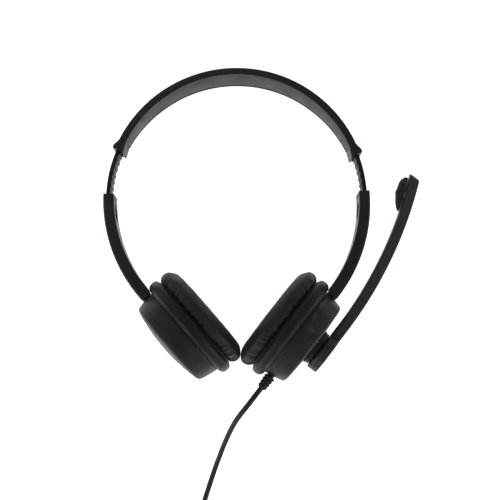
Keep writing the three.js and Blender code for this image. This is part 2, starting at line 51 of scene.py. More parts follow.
BAND_HALF_ANGLE, COLLAR_ANGLE = 69, 4.8
BAND_RADIUS, BAND_INNER, WALL_INNER, LINER_OUT = 82, 77.1, 81.3, 77.8
CROWN_WIDTH, END_WIDTH, CROWN_THINNER, BEAD_RISE = 25.4, 19, 0.3, 1.7
STRIP_OUT, STRIP_THICK, STRIP_WIDTH, STRIP_TAIL = 81, 2.45, 13, 27.7
NOTCH_PITCH, NOTCH_RISE = 3.05, 0.45
ARM_CENTRE, ARM_RADIUS = (-12.06, -0.4), 94.75
ARM_TOP_THICK, ARM_END_THICK, ARM_WIDTH = 6.8, 7.6, 18
ARM_START, ARM_END, SCREW_ANGLE = 0.24, -44.6, -4.4
ARM_TOP = {"right": 2.96, "left": 1.86}
ARM_FLEX = {"right": 1.05, "left": -0.55}
PIVOT_ANGLE, PIVOT_RADIUS = -45.05, 91.1
CUP_TILT, PIVOT_UP, PIVOT_OUT = -42.35, 28.4, 3.4
HOUSING_RADIUS, BAFFLE_RADIUS = 31, 35.3
PAD_RADIUS, PAD_FACE, PAD_BACK, PAD_HOLE = 34.8, -20.6, -8.65, 15.2
BOOM_LEVEL, BOOM_THICK, BOOM_STRAIGHT, BOOM_BEND, BOOM_LENGTH = 21.05, 6.6, 18, 259, 109
HUB_RADIUS, MIC_AT = 12.4, 113
LIE_BACK, BAND_LEAN = -7.2, -1.25
CORD_RADIUS, RELIEF_OUT, RELIEF_END = 1.65, 4.05, 40.5
COIL_CENTRE, COIL_LIFT, COIL_LAYERS, COIL_TURNS, TIE_TURN = (-22.25, -223), 1.3, 4, 3, 35
SIDES = ("left", "right")

JOINTS = {j["name"]: j for j in frame["joints"]}


def turn(axis, degrees):
    return Matrix.Rotation(degrees * DEG, 4, axis)


def shift(x, y, z=0):
    return Matrix.Translation((x, y, z))


def polar(radius, angle, centre=(0, 0)):
    return centre[0] + radius * math.cos(angle * DEG), centre[1] + radius * math.sin(angle * DEG)


# ---------------------------------------------------------------- the parts' frames
BAND_CENTRE = Vector(JOINTS["slide_left"]["pos_m"]) * 1000
HEAD = Matrix.Translation(BAND_CENTRE) @ turn("X", LIE_BACK)
BAND = HEAD @ turn("Z", BAND_LEAN)
PIVOT = polar(PIVOT_RADIUS, PIVOT_ANGLE, ARM_CENTRE)
CUP_CENTRE = (
    PIVOT[0] + PIVOT_UP * math.cos((CUP_TILT - 90) * DEG) - PIVOT_OUT * math.cos(CUP_TILT * DEG),
    PIVOT[1] + PIVOT_UP * math.sin((CUP_TILT - 90) * DEG) - PIVOT_OUT * math.sin(CUP_TILT * DEG),
)
SLIDER, ARM, CUP = {}, {}, {}
for side in SIDES:
    SLIDER[side] = HEAD @ turn("Y", 180 if side == "left" else 0) @ turn("Z", ARM_TOP[side])
    top = (ARM_CENTRE[0] + ARM_RADIUS, ARM_CENTRE[1])
    ARM[side] = SLIDER[side] @ shift(*top) @ turn("Z", ARM_FLEX[side]) @ shift(-top[0], -top[1])
    CUP[side] = ARM[side] @ shift(*CUP_CENTRE) @ turn("Z", CUP_TILT - 90)
    pin = ARM[side] @ Vector((*PIVOT, 0)) / 1000
    if (pin - Vector(JOINTS[f"tilt_{side}"]["pos_m"])).length > 2e-4:
        raise RuntimeError(f"the {side} arm's frame is not where the packed joint says")

# ---------------------------------------------------------------- camera
# eye and aim are measured from the band's centre; up leans a little to the right
EYE, AIM, UP = Vector((5.33, -38.24, 614.3)), Vector((8.15, -31.62, 16.77)), Vector((0.0034, 1, 0))
LENS, SENSOR = 70.62, 36
camera = bpy.data.objects.new("camera", bpy.data.cameras.new("camera"))
bpy.context.scene.collection.objects.link(camera)
camera.location = (BAND_CENTRE + EYE) / 1000
back = (camera.location - (BAND_CENTRE + AIM) / 1000).normalized()
across = UP.cross(back).normalized()
camera.rotation_euler = Matrix((across, back.cross(across), back)).transposed().to_euler()
camera.data.lens = LENS
camera.data.sensor_width = SENSOR
bpy.context.scene.camera = camera


# ---------------------------------------------------------------- materials
class Finish:
    """A node material put together a node at a time."""

    def __init__(self, name):
        self.material = bpy.data.materials.new(name)
        self.material.use_nodes = True
        self.tree = self.material.node_tree
        self.principled = self.tree.nodes["Principled BSDF"]
        self.place = self.add("ShaderNodeTexCoord").outputs["Object"]

    def add(self, kind, inputs=None, **settings):
        node = self.tree.nodes.new(kind)
        for key, value in settings.items():
            setattr(node, key, value)
        for key, value in (inputs or {}).items():
            self.feed(node.inputs[key], value)
        return node

    def feed(self, socket, value):
        if isinstance(value, bpy.types.NodeSocket):
            self.tree.links.new(value, socket)
        else:
            socket.default_value = value

    def noise(self, scale, detail=2, rough=0.5, place=None):
        inputs = {"Vector": place or self.place, "Scale": scale, "Detail": detail, "Roughness": rough}
        return self.add("ShaderNodeTexNoise", inputs).outputs["Fac"]

    def cells(self, scale, place=None):
        inputs = {"Vector": place or self.place, "Scale": scale}
        return self.add("ShaderNodeTexVoronoi", inputs).outputs["Distance"]

    def spread(self, value, low, high, to_low, to_high):
        inputs = {0: value, 1: low, 2: high, 3: to_low, 4: to_high}
        return self.add("ShaderNodeMapRange", inputs).outputs[0]

    def math(self, operation, a, b):
        return self.add("ShaderNodeMath", {0: a, 1: b}, operation=operation).outputs[0]

    def mix(self, factor, a, b):
        node = self.add("ShaderNodeMix", data_type="RGBA")
        self.feed(node.inputs["Factor"], factor)
        self.feed(node.inputs["A"], a)
        self.feed(node.inputs["B"], b)
        return node.outputs["Result"]

    def bump(self, height, distance, strength, normal=None):
        inputs = {"Height": height, "Distance": distance, "Strength": strength}
        if normal is not None:
            inputs["Normal"] = normal
        return self.add("ShaderNodeBump", inputs).outputs["Normal"]

    def edge_wear_and_highlight(self, low, high):
        """1 along convex edges, broken up by noise: where edges are painted lighter, as rubbed wear and as a
        painted highlight.
        """
        point = self.add("ShaderNodeNewGeometry").outputs["Pointiness"]
        return self.math("MULTIPLY", self.spread(point, low, high, 0, 1), self.noise(260, 3))

    def done(self, **inputs):
        for key, value in inputs.items():
            self.feed(self.principled.inputs[key.replace("_", " ")], value)
        return self.material


def grey(value, tint=0.0):
    return (value * (1 - tint), value, value * (1 + tint), 1)


def satin_plastic(name, dark, light, rough, grain=2300, specular=0.22):
    """Moulded plastic with a fine eroded texture, faint mottling, and convex edges painted lighter: partly
    rubbed wear, partly a painted highlight.
    """
    f = Finish(name)
    cloud = f.noise(38, 4, 0.6)
    fine = f.noise(grain, 3, 0.55)
    base = f.mix(f.spread(cloud, 0.3, 0.7, 0, 1), grey(dark, 0.1), grey(light, 0.1))
    edge_wear_and_highlight = f.edge_wear_and_highlight(0.53, 0.62)
    # convex edges are lightened: partly rubbed wear, partly a painted edge highlight
    colour = f.mix(edge_wear_and_highlight, base, grey(light * 2.6, 0.02))
    smear = f.spread(f.noise(90, 5, 0.65), 0.35, 0.7, rough - 0.05, rough + 0.07)
    roughness = f.math("ADD", smear, f.spread(fine, 0.3, 0.7, -0.04, 0.04))
    normal = f.bump(fine, 0.00003, 0.55)
    normal = f.bump(cloud, 0.00012, 0.25, normal)
    return f.done(Base_Color=colour, Roughness=roughness, Normal=normal, Specular_IOR_Level=specular)


def leather():
    f = Finish("leatherette")
    warp = f.add("ShaderNodeVectorMath", {0: f.place}, operation="ADD")
    bend = f.add("ShaderNodeTexNoise", {"Vector": f.place, "Scale": 260.0, "Detail": 2.0})
    small = f.add("ShaderNodeVectorMath", {0: bend.outputs["Color"], "Scale": 0.0016}, operation="SCALE")
    f.feed(warp.inputs[1], small.outputs[0])
    grain = f.cells(980, warp.outputs[0])
    pores = f.spread(grain, 0.1, 0.75, 1, 0)
    creases = f.noise(210, 5, 0.62)
    soft = f.noise(46, 3, 0.5)
    base = f.mix(f.spread(soft, 0.3, 0.7, 0, 1), grey(0.005, 0.1), grey(0.009, 0.1))
    colour = f.mix(f.spread(grain, 0.35, 0.8, 0, 0.55), base, grey(0.004))
    roughness = f.math("ADD", f.spread(creases, 0.3, 0.7, 0.46, 0.6), f.spread(grain, 0.1, 0.8, -0.05, 0.1))
    normal = f.bump(creases, 0.0004, 0.35)
    normal = f.bump(pores, 0.0001, 0.6, normal)
    return f.done(Base_Color=colour, Roughness=roughness, Normal=normal, Specular_IOR_Level=0.22,
                  Sheen_Weight=0.02, Sheen_Roughness=0.5)


def woven(name, turned, pitch, dark, light):
    """Two crossing sets of threads, pitch apart; turned is the rotation of the cloth's own frame."""
    f = Finish(name)
    inputs = {"Vector": f.place, "Rotation": turned}
    flat = f.add("ShaderNodeMapping", inputs, vector_type="TEXTURE").outputs[0]
    scale = 1 / (pitch * 0.001) / 20 * math.pi * 2
    across = f.add("ShaderNodeTexWave", {"Vector": flat, "Scale": scale, "Distortion": 0.6},
                   bands_direction="X").outputs["Fac"]
    along = f.add("ShaderNodeTexWave", {"Vector": flat, "Scale": scale, "Distortion": 0.6},
                  bands_direction="Z").outputs["Fac"]
    weave = f.math("MULTIPLY", across, along)
    fuzz = f.noise(5200, 2, 0.6)
    height = f.math("ADD", weave, f.math("MULTIPLY", fuzz, 0.25))
    colour = f.mix(weave, grey(dark), f.mix(f.noise(300, 3), grey(light), grey(light * 1.5)))
    normal = f.bump(height, 0.0002, 0.8)
    return f.done(Base_Color=colour, Roughness=0.88, Normal=normal, Sheen_Weight=0.15)


def foam():
    f = Finish("foam_rubber")
    holes = f.cells(2600)
    lumps = f.noise(420, 3, 0.6)
    height = f.math("ADD", f.spread(holes, 0.1, 0.7, 0, 1), f.math("MULTIPLY", lumps, 0.5))
    colour = f.mix(f.spread(holes, 0.2, 0.7, 0, 1), grey(0.002), grey(0.008))
    return f.done(Base_Color=colour, Roughness=0.95, Normal=f.bump(height, 0.0003, 0.9), Sheen_Weight=0.05)


def cord_rubber():
    f = Finish("cord_rubber")
    drag = f.noise(150, 4, 0.6)
    fine = f.noise(3200, 2)
    colour = f.mix(f.spread(drag, 0.3, 0.7, 0, 1), grey(0.004), grey(0.008))
    roughness = f.spread(drag, 0.3, 0.7, 0.42, 0.56)
    return f.done(Base_Color=colour, Roughness=roughness, Normal=f.bump(fine, 0.00004, 0.5),
                  Specular_IOR_Level=0.22)


def metal(name, low, high, rough, grain=(900, 60, 900)):
    """Drawn or plated metal with long fine scratches."""
    f = Finish(name)
    stretched = f.add("ShaderNodeMapping", {"Vector": f.place, "Scale": grain}).outputs[0]
    lines = f.noise(6, 6, 0.7, stretched)
    cloud = f.noise(120, 3)
    colour = f.mix(cloud, grey(low), grey(high))
    drawn = f.spread(lines, 0.3, 0.7, rough - 0.07, rough + 0.09)
    roughness = f.math("ADD", drawn, f.spread(cloud, 0, 1, -0.03, 0.03))
    return f.done(Base_Color=colour, Metallic=1.0, Roughness=roughness, Normal=f.bump(lines, 0.00002, 0.4))


def board():
    f = Finish("board")
    tracks = f.cells(420)
    colour = f.mix(f.spread(tracks, 0.3, 0.5, 0, 1), (0.01, 0.07, 0.025, 1), (0.02, 0.13, 0.05, 1))
    fibre = f.noise(1900, 3)
    return f.done(Base_Color=colour, Roughness=f.spread(fibre, 0.3, 0.7, 0.3, 0.45),
                  Normal=f.bump(tracks, 0.00005, 0.5))


def film():
    f = Finish("speaker_film")
    ripple = f.add("ShaderNodeTexWave", {"Vector": f.place, "Scale": 140.0, "Distortion": 2.0}).outputs["Fac"]
    colour = f.mix(f.noise(200, 3), grey(0.05), (0.11, 0.1, 0.085, 1))
    return f.done(Base_Color=colour, Roughness=f.spread(f.noise(500, 2), 0.3, 0.7, 0.22, 0.36),
                  Normal=f.bump(ripple, 0.00008, 0.4), Coat_Weight=0.3)


CLOTH_TURN = {side: tuple(CUP[side].to_euler()) for side in SIDES}
LOOK = {
    "satin_black_plastic": satin_plastic("satin_black_plastic", 0.0095, 0.0125, 0.42, specular=0.17),
    "grey_plastic": satin_plastic("grey_plastic", 0.0065, 0.0092, 0.46, 1700, specular=0.19),
    "strip_plastic": satin_plastic("strip_plastic", 0.006, 0.0085, 0.48, 3000, specular=0.13),
    "leatherette": leather(),
    "acoustic_cloth": woven("acoustic_cloth", CLOTH_TURN["right"], 0.55, 0.002, 0.012),
    "foam_rubber": foam(),
    "cord_rubber": cord_rubber(),
    "tie_fabric": woven("tie_fabric", (0, 0, TIE_TURN * DEG), 0.7, 0.004, 0.02),
    "steel": metal("steel", 0.36, 0.46, 0.34),
    "plug_steel": metal("plug_steel", 0.55, 0.66, 0.22, (60, 900, 900)),
    "plug_insulator": satin_plastic("plug_insulator", 0.55, 0.62, 0.35, 2600),
    "board": board(),
    "speaker_film": film(),
}
BOOM_LOOK = satin_plastic("satin_black_boom", 0.0155, 0.021, 0.42)
BAFFLE_LOOK = satin_plastic("satin_black_baffle", 0.0085, 0.0115, 0.46, specular=0.11)
SCREW_LOOK = metal("blackened_steel", 0.035, 0.06, 0.4)
# the arms' inner covers are black plastic, darkened further as painted shade on the arms' inner faces
ARM_COVER_SHADED_LOOK = satin_plastic("arm_cover_painted_shade_plastic", 0.005, 0.007, 0.36, specular=0.16)
CLOTH = {"right": LOOK["acoustic_cloth"],
         "left": woven("acoustic_cloth_left", CLOTH_TURN["left"], 0.55, 0.002, 0.012)}


# ---------------------------------------------------------------- mesh helpers
def rounded(corners, facets=5):
    """A closed outline through corners (x, y, radius), with each corner rounded to its radius."""
    points = []
    count = len(corners)
    for i, (x, y, radius) in enumerate(corners):
        here = Vector((x, y))
        before = Vector(corners[i - 1][:2]) - here
        after = Vector(corners[(i + 1) % count][:2]) - here
        if radius <= 0 or before.length < 1e-6 or after.length < 1e-6:
            points.append((x, y))
            continue
        angle = before.angle(after)
        if angle > math.pi - 0.02:
            points.append((x, y))
            continue
        reach = min(radius / math.tan(angle / 2), before.length * 0.49, after.length * 0.49)
        radius = reach * math.tan(angle / 2)
        inward = (before.normalized() + after.normalized()).normalized()
        centre = here + inward * (radius / math.sin(angle / 2))
        start = here + before.normalized() * reach - centre
        end = here + after.normalized() * reach - centre
        span = start.angle_signed(end)
        for k in range(facets + 1):
            p = start.copy()
            p.rotate(Matrix.Rotation(-span * k / facets, 2))
            points.append(tuple(centre + p))
    return points


def loft(rings, closed=False):
    """Vertices and faces through rings of equal count; the ends are capped unless closed."""
    count = len(rings[0])
    verts = [v for ring in rings for v in ring]
    faces = []
    for i in range(len(rings) if closed else len(rings) - 1):
        a, b = i * count, (i + 1) % len(rings) * count
        faces += [(a + j, a + (j + 1) % count, b + (j + 1) % count, b + j) for j in range(count)]
    if not closed:
        faces.append(tuple(range(count)))
        faces.append(tuple(range(len(verts) - count, len(verts))))
    return verts, faces


def sweep(section, angles, centre=(0, 0)):
    """section(angle) gives [(radius, z)] points, carried round the arc's angles."""
    rings = [[(*polar(r, a, centre), z) for r, z in section(a)] for a in angles]
    return loft(rings)


def revolve(profile, segments):
    """Turns [(radius, height)] round +Y. A profile with points on the axis is closed there."""
    verts, rows = [], []
    for r, y in profile:
        if r < 1e-6:
            rows.append([len(verts)] * segments)
            verts.append((0, y, 0))
            continue
        rows.append(list(range(len(verts), len(verts) + segments)))
        verts += [(r * math.cos(2 * math.pi * k / segments), y, -r * math.sin(2 * math.pi * k / segments))
                  for k in range(segments)]
    faces = []
    on_axis = profile[0][0] < 1e-6 and profile[-1][0] < 1e-6
    pairs = list(zip(rows, rows[1:])) + ([] if on_axis else [(rows[-1], rows[0])])
    for a, b in pairs:
        for k in range(segments):
            n = (k + 1) % segments
            face = [a[k], a[n], b[n], b[k]]
            face = [v for i, v in enumerate(face) if v != face[i - 1]]
            if len(set(face)) > 2:
                faces.append(tuple(face))
    return verts, faces


def extrude(outline, low, high):
    """A flat outline in X and Y between two heights."""
    return loft([[(x, y, z) for x, y in outline] for z in (low, high)])


def block(x0, x1, y0, y1, z0, z1):
    return extrude([(x0, y0), (x1, y0), (x1, y1), (x0, y1)], z0, z1)


def rod(radius, low, high, x=0, z=0, segments=48):
    verts, faces = revolve([(0, low), (radius, low), (radius, high), (0, high)], segments)
    return [(a + x, b, c + z) for a, b, c in verts], faces


def steps(start, end, count):
    return [start + (end - start) * i / count for i in range(count + 1)]


def mesh_of(name, shape, matrix=Matrix.Identity(4)):
    verts, faces = shape
    mesh = bpy.data.meshes.new(name)
    mesh.from_pydata([tuple(matrix @ Vector(v)) for v in verts], [], faces)
    bm = bmesh.new()
    bm.from_mesh(mesh)
    bmesh.ops.remove_doubles(bm, verts=bm.verts, dist=1e-5)
    bmesh.ops.recalc_face_normals(bm, faces=bm.faces)
    bm.to_mesh(mesh)
    bm.free()
    obj = bpy.data.objects.new(name, mesh)
    bpy.context.scene.collection.objects.link(obj)
    return obj


def applied(obj):
    """Replaces the object's mesh with its modified one."""
    view = bpy.context.evaluated_depsgraph_get()
    final = bpy.data.meshes.new_from_object(obj.evaluated_get(view))
    old = obj.data
    obj.modifiers.clear()
    obj.data = final
    bpy.data.meshes.remove(old)
    return obj


def combine(obj, shape, operation, matrix=Matrix.Identity(4)):
    tool = mesh_of("tool", shape, matrix)
    modifier = obj.modifiers.new("combine", "BOOLEAN")
    modifier.operation = operation
    modifier.solver = "EXACT"
    modifier.object = tool
    applied(obj)
    bpy.data.objects.remove(tool)


def bevelled(obj, width, segments, angle=35):
    modifier = obj.modifiers.new("bevel", "BEVEL")
    modifier.width = width
    modifier.segments = segments
    modifier.limit_method = "ANGLE"
    modifier.angle_limit = angle * DEG
    modifier.miter_outer = "MITER_ARC"
    return applied(obj)


def finished(obj, body, look, replaces=(), *, matrix, sharp=34):
    """Places a mesh made in millimetres, shades it and hands it to its body."""
    obj.data.transform(matrix)
    obj.data.transform(Matrix.Scale(0.001, 4))
    obj.data.materials.clear()
    obj.data.materials.append(look if isinstance(look, bpy.types.Material) else LOOK[look])
    obj.data.shade_smooth()
    obj.data.set_sharp_from_angle(angle=sharp * DEG)
    obj.data.update()
    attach(obj, body)
    if replaces:
        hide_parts(*([replaces] if isinstance(replaces, str) else replaces))
    return obj


# ---------------------------------------------------------------- cord
# The route's points are the CAD's; the coil holds the rest of the cord's length.
ROUTE = [
    (-10, -109.8, 39.4), (-13.9, -115, 36.6), (-17.2, -120.3, 32.2), (-20, -126, 26.9), (-22.5, -132, 21.4),
    (-25, -138.5, 15.9), (-27.4, -145.3, 10.9), (-29.9, -152.4, 6.7), (-32.4, -160, 3.7), (-35, -168, 2.2),
    (-37.7, -176.5, 1.75), (-40.5, -185.5, 1.75), (-43, -194, 1.75), (-45.2, -202, 1.75), (-46.4, -209, 1.75),
]
TAIL = [
    (-14.5, -247.3, 13.3), (-7, -247.3, 13), (-2, -247.5, 12.2), (4, -247.8, 10.6), (10, -248.2, 8.4),
    (16, -248.6, 6.3), (22, -248.9, 4.8), (28, -249, 4.3),
]
TURN_INNER, TURN_OUTER, LAYER, PER_TURN = 13.65, 24.35, 3.467, 16
CLIMB = 5 / 12


def coil_points():
    """Flat layers of turns, wound inwards and outwards in turn, with a climb between each two."""
    points = []
    stages = []
    for layer in range(COIL_LAYERS):
        ends = (TURN_OUTER, TURN_INNER) if layer % 2 == 0 else (TURN_INNER, TURN_OUTER)
        stages.append((COIL_TURNS, *ends, layer, layer))
        if layer < COIL_LAYERS - 1:
            stages.append((CLIMB, ends[1], ends[1], layer, layer + 1))
    angle = 180.0
    for turns, r0, r1, low, high in stages:
        count = max(1, round(turns * PER_TURN))
        for k in range(count):
            t = k / count
            radius = r0 + (r1 - r0) * t
            height = COIL_LIFT + CORD_RADIUS + LAYER * (low + (high - low) * t)
            x, y = polar(radius, angle + 360 * turns * t, COIL_CENTRE)
            points.append((x, y, height))
        angle += 360 * turns
    top = COIL_LIFT + CORD_RADIUS + LAYER * (COIL_LAYERS - 1)
    points.append((*polar(TURN_OUTER, angle, COIL_CENTRE), top))
    return points


def build_cord():
    along = [tuple(CUP["right"] @ Vector((RELIEF_END + d, RELIEF_OUT, 0))) for d in (-3, 7)]
    middle = [(-46.6, -216, 2.3)]
    points = along + ROUTE + middle + coil_points() + TAIL
    data = bpy.data.curves.new("cord", "CURVE")
    data.dimensions = "3D"
    data.bevel_depth = CORD_RADIUS / 1000
    data.bevel_resolution = 5
    data.use_fill_caps = True
    data.resolution_u = 6
    spline = data.splines.new("BEZIER")
    spline.bezier_points.add(len(points) - 1)
    for bezier, p in zip(spline.bezier_points, points):
        bezier.co = Vector(p) / 1000
        bezier.handle_left_type = bezier.handle_right_type = "AUTO"
    cord = bpy.data.objects.new("cord", data)
    bpy.context.scene.collection.objects.link(cord)
    data.materials.append(LOOK["cord_rubber"])
    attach(cord, "cup_right")
    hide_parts("cord_tube", "cord_coil", "cord_tail")
    return cord, points[0]


cord, cord_exit = build_cord()


# ---------------------------------------------------------------- headband
def half_width(angle):
    return (CROWN_WIDTH - (CROWN_WIDTH - END_WIDTH) * ((angle - 90) / BAND_HALF_ANGLE) ** 2) / 2


def crown_rise(angle):
    return CROWN_THINNER * (1 - min(1, abs(angle - 90) / 36) ** 2)


def shell_section(angle):
    w = half_width(angle)
    inner = BAND_INNER + crown_rise(angle)
    crown = 0.22
    return rounded([
        (inner, w, 0.3), (BAND_RADIUS - crown, w, 1), (BAND_RADIUS, w * 0.55, 9),
        (BAND_RADIUS, -w * 0.55, 9), (BAND_RADIUS - crown, -w, 1), (inner, -w, 0.3),
        (inner, -w * 0.88, 0.25), (WALL_INNER, -w * 0.88, 0.2), (WALL_INNER, w * 0.88, 0.2),
        (inner, w * 0.88, 0.25),
    ])


def liner_section(angle):
    w = half_width(angle) * 0.85
    inner = BAND_INNER + 0.15 + crown_rise(angle)
    outer = LINER_OUT + crown_rise(angle)
    return rounded([(inner, w, 0.3), (outer, w, 0.1), (outer, -w, 0.1), (inner, -w, 0.3)])


def build_band():
    end = BAND_HALF_ANGLE - COLLAR_ANGLE - 0.25
    angles = steps(90 + end, 90 - end, 128)
    shell = bevelled(mesh_of("headband_shell_look", sweep(shell_section, angles)), 0.18, 2, 60)
    finished(shell, "headband", "satin_black_plastic", "headband_shell", matrix=BAND)
    liner = mesh_of("headband_liner_look", sweep(liner_section, angles))
    finished(liner, "headband", "grey_plastic", "headband_liner", matrix=BAND)

    start = 90 + BAND_HALF_ANGLE - COLLAR_ANGLE

    def collar_section(angle):
        along = (angle - start) / COLLAR_ANGLE
        bead = math.sin(along / 0.8 * 90 * DEG) ** 2 if along < 0.8 else 1 - 12 * (along - 0.8) ** 2
        outer = BAND_RADIUS + BEAD_RISE * bead
        inner = 76 + 1.1 * (1 - along)
        w = half_width(angle)
        return rounded([
            (inner, w * 0.97, 0.5), (inner + 1.5, w * 1.01, 0.8), (81, w * 1.02, 0.8),
            (outer, w * 0.93, 1.3), (outer, -w * 0.93, 1.3), (81, -w * 1.02, 0.8),
            (inner + 1.5, -w * 1.01, 0.8), (inner, -w * 0.97, 0.5),
        ])

    def collar_hole(angle):
        w = half_width(angle) * 0.72
        low, high = LINER_OUT, WALL_INNER
        return rounded([(low, w, 0.3), (low, -w, 0.3), (high, -w, 0.3), (high, w, 0.3)])

    for side in SIDES:
        obj = mesh_of("collar", sweep(collar_section, steps(start + COLLAR_ANGLE, start, 24)))
        combine(obj, sweep(collar_hole, steps(start + COLLAR_ANGLE + 1, start - 1, 8)), "DIFFERENCE")
        bevelled(obj, 0.35, 3, 50)
        obj.name = f"collar_{side}_look"
        flip = turn("Y", 0 if side == "left" else 180)
        finished(obj, "headband", "satin_black_plastic", f"collar_{side}", matrix=BAND @ flip)


build_band()


# ---------------------------------------------------------------- slider strip and arm
def strip_outline():
    inner = STRIP_OUT - STRIP_THICK
    points = [polar(STRIP_OUT, a) for a in steps(-7, STRIP_TAIL, 60)]
    points.append(polar(inner, STRIP_TAIL))
    angle = STRIP_TAIL - 1.6
    while angle > 2:
        for k in range(11):
            t = k / 10
            points.append(polar(inner - NOTCH_RISE * math.sin(math.pi * t) ** 0.7, angle - 1.6 * t))
        for t in (0.3, 0.7):
            points.append(polar(inner, angle - 1.6 - (NOTCH_PITCH - 1.6) * t))
        angle -= NOTCH_PITCH
    points += [polar(inner, a) for a in steps(angle, -7, 16)]
    return points


def arm_thick(angle):
    along = (ARM_START - angle) / (ARM_START - ARM_END)
    return ARM_TOP_THICK + (ARM_END_THICK - ARM_TOP_THICK) * along


def arm_sweep(section, start, end, count):
    """section is [(depth in parts of the arm's thickness, z, corner radius)]."""
    def at(angle):
        thick = arm_thick(angle)
        return rounded([(ARM_RADIUS - depth * thick, z, r) for depth, z, r in section])
    return sweep(at, steps(start, end, count), ARM_CENTRE)


def on_arm(angle, radius=88.6):
    """The frame at a place on the arm: +Y outwards along its radius, +X up the arm."""
    return shift(*polar(radius, angle, ARM_CENTRE)) @ turn("Z", angle - 90)


def oval(half_length, half_width):
    points = []
    for start, x in ((-90, half_length - half_width), (90, half_width - half_length)):
        points += [polar(half_width, a, (x, 0)) for a in steps(start, start + 180, 12)]
    return points


def flat_on_arm(outline, low, high):
    """An outline lying on the arm's face: its x runs along the arm, its y across."""
    return loft([[(x, y, z) for x, z in outline] for y in (low, high)])


def build_arm(side):
    name = f"arm_{side}"
    strip = mesh_of(f"slider_strip_{side}_look", extrude(strip_outline(), -STRIP_WIDTH / 2, STRIP_WIDTH / 2))
    bevelled(strip, 0.16, 2, 40)
    finished(strip, name, "strip_plastic", f"slider_strip_{side}", matrix=SLIDER[side])

    half = ARM_WIDTH / 2
    outside = [
        (1, half, 0.5), (0.5, half, 6), (0.12, half - 0.12, 0.8), (0, half - 1.5, 1.6),
        (0, 1.5 - half, 1.6), (0.12, 0.12 - half, 0.8), (0.5, -half, 6), (1, -half, 0.5),
    ]
    body = mesh_of(f"arm_shell_{side}_look", arm_sweep(outside, ARM_START, ARM_END, 64))
    hollow = [(1.3, 7.6, 0.3), (0.22, 7.6, 0.6), (0.22, -7.6, 0.6), (1.3, -7.6, 0.3)]
    combine(body, arm_sweep(hollow, ARM_START - 1.3, -38, 40), "DIFFERENCE")
    combine(body, block(78.2, 81.3, -4, 2, -6.9, 6.9), "DIFFERENCE")
    cup = shift(*CUP_CENTRE) @ turn("Z", CUP_TILT - 90)
    # room for the baffle's rounded rear edge as the cup swivels 5 degrees either way, then for the housing
    rear = [(BAFFLE_RADIUS + 0.4, -4.2), (BAFFLE_RADIUS + 0.1, -2.1), (34.2, -0.6), (32.8, 0.2)]
    rear = [(0, -9), (BAFFLE_RADIUS + 0.4, -9), *rear, (0, 0.2)]
    for swivel in (0, 5.3, -5.3):
        swung = cup @ shift(0, PIVOT_OUT) @ turn("X", swivel) @ shift(0, -PIVOT_OUT)
        combine(body, revolve(rear, 128), "DIFFERENCE", swung)
    combine(body, rod(HOUSING_RADIUS + 0.4, 0, 12, segments=128), "DIFFERENCE", cup)
    bevelled(body, 0.4, 3, 42)
    down = PIVOT_ANGLE - 90
    outline = [polar(2.2, a, PIVOT) for a in steps(down - 90, down + 90, 16)]
    back = polar(5, down + 180)
    outline += [tuple(Vector(outline[-1]) + Vector(back)), tuple(Vector(outline[0]) + Vector(back))]
    combine(body, extrude(outline, -3, 3), "UNION")
    combine(body, extrude([polar(1.55, a, PIVOT) for a in steps(0, 345, 23)], -4, 4), "DIFFERENCE")
    finished(body, name, "satin_black_plastic", f"arm_shell_{side}", matrix=ARM[side])

    cover = mesh_of(f"arm_cover_{side}_look", arm_sweep(
        [(1, 7.3, 0.5), (0.8, 7.3, 0.2), (0.8, -7.3, 0.2), (1, -7.3, 0.5)], ARM_START - 1.6, -37.7, 56))
    screw_hole = on_arm(SCREW_ANGLE)
    combine(cover, flat_on_arm(oval(5.6, 4.1), -2, 0.35), "DIFFERENCE", on_arm(-6.9))
    combine(cover, rod(2.5, -1.5, 0.6, segments=40), "DIFFERENCE", screw_hole)
    combine(cover, rod(1.4, -1, 3, segments=32), "DIFFERENCE", screw_hole)
    bevelled(cover, 0.22, 3, 50)
    combine(cover, flat_on_arm(oval(3.6, 1.3), -2, -0.15), "DIFFERENCE", on_arm(-16.7, 88.0))
    finished(cover, name, ARM_COVER_SHADED_LOOK, f"arm_cover_{side}", matrix=ARM[side])

    screw = mesh_of(f"arm_screw_{side}_look", revolve(
        [(0, -0.1), (1.7, -0.1), (2, 0.02), (2.1, 0.15), (2.1, 0.3), (1.1, 0.35), (1.1, 4.2), (0, 4.2)], 40))
    for quarter in (0, 90):
        cross = block(-1.15, 1.15, -1, 0.16, -0.22, 0.22)
        combine(screw, cross, "DIFFERENCE", turn("Y", quarter + 20))
    finished(screw, name, SCREW_LOOK, f"arm_screw_{side}", matrix=ARM[side] @ screw_hole)


for side in SIDES:
    build_arm(side)


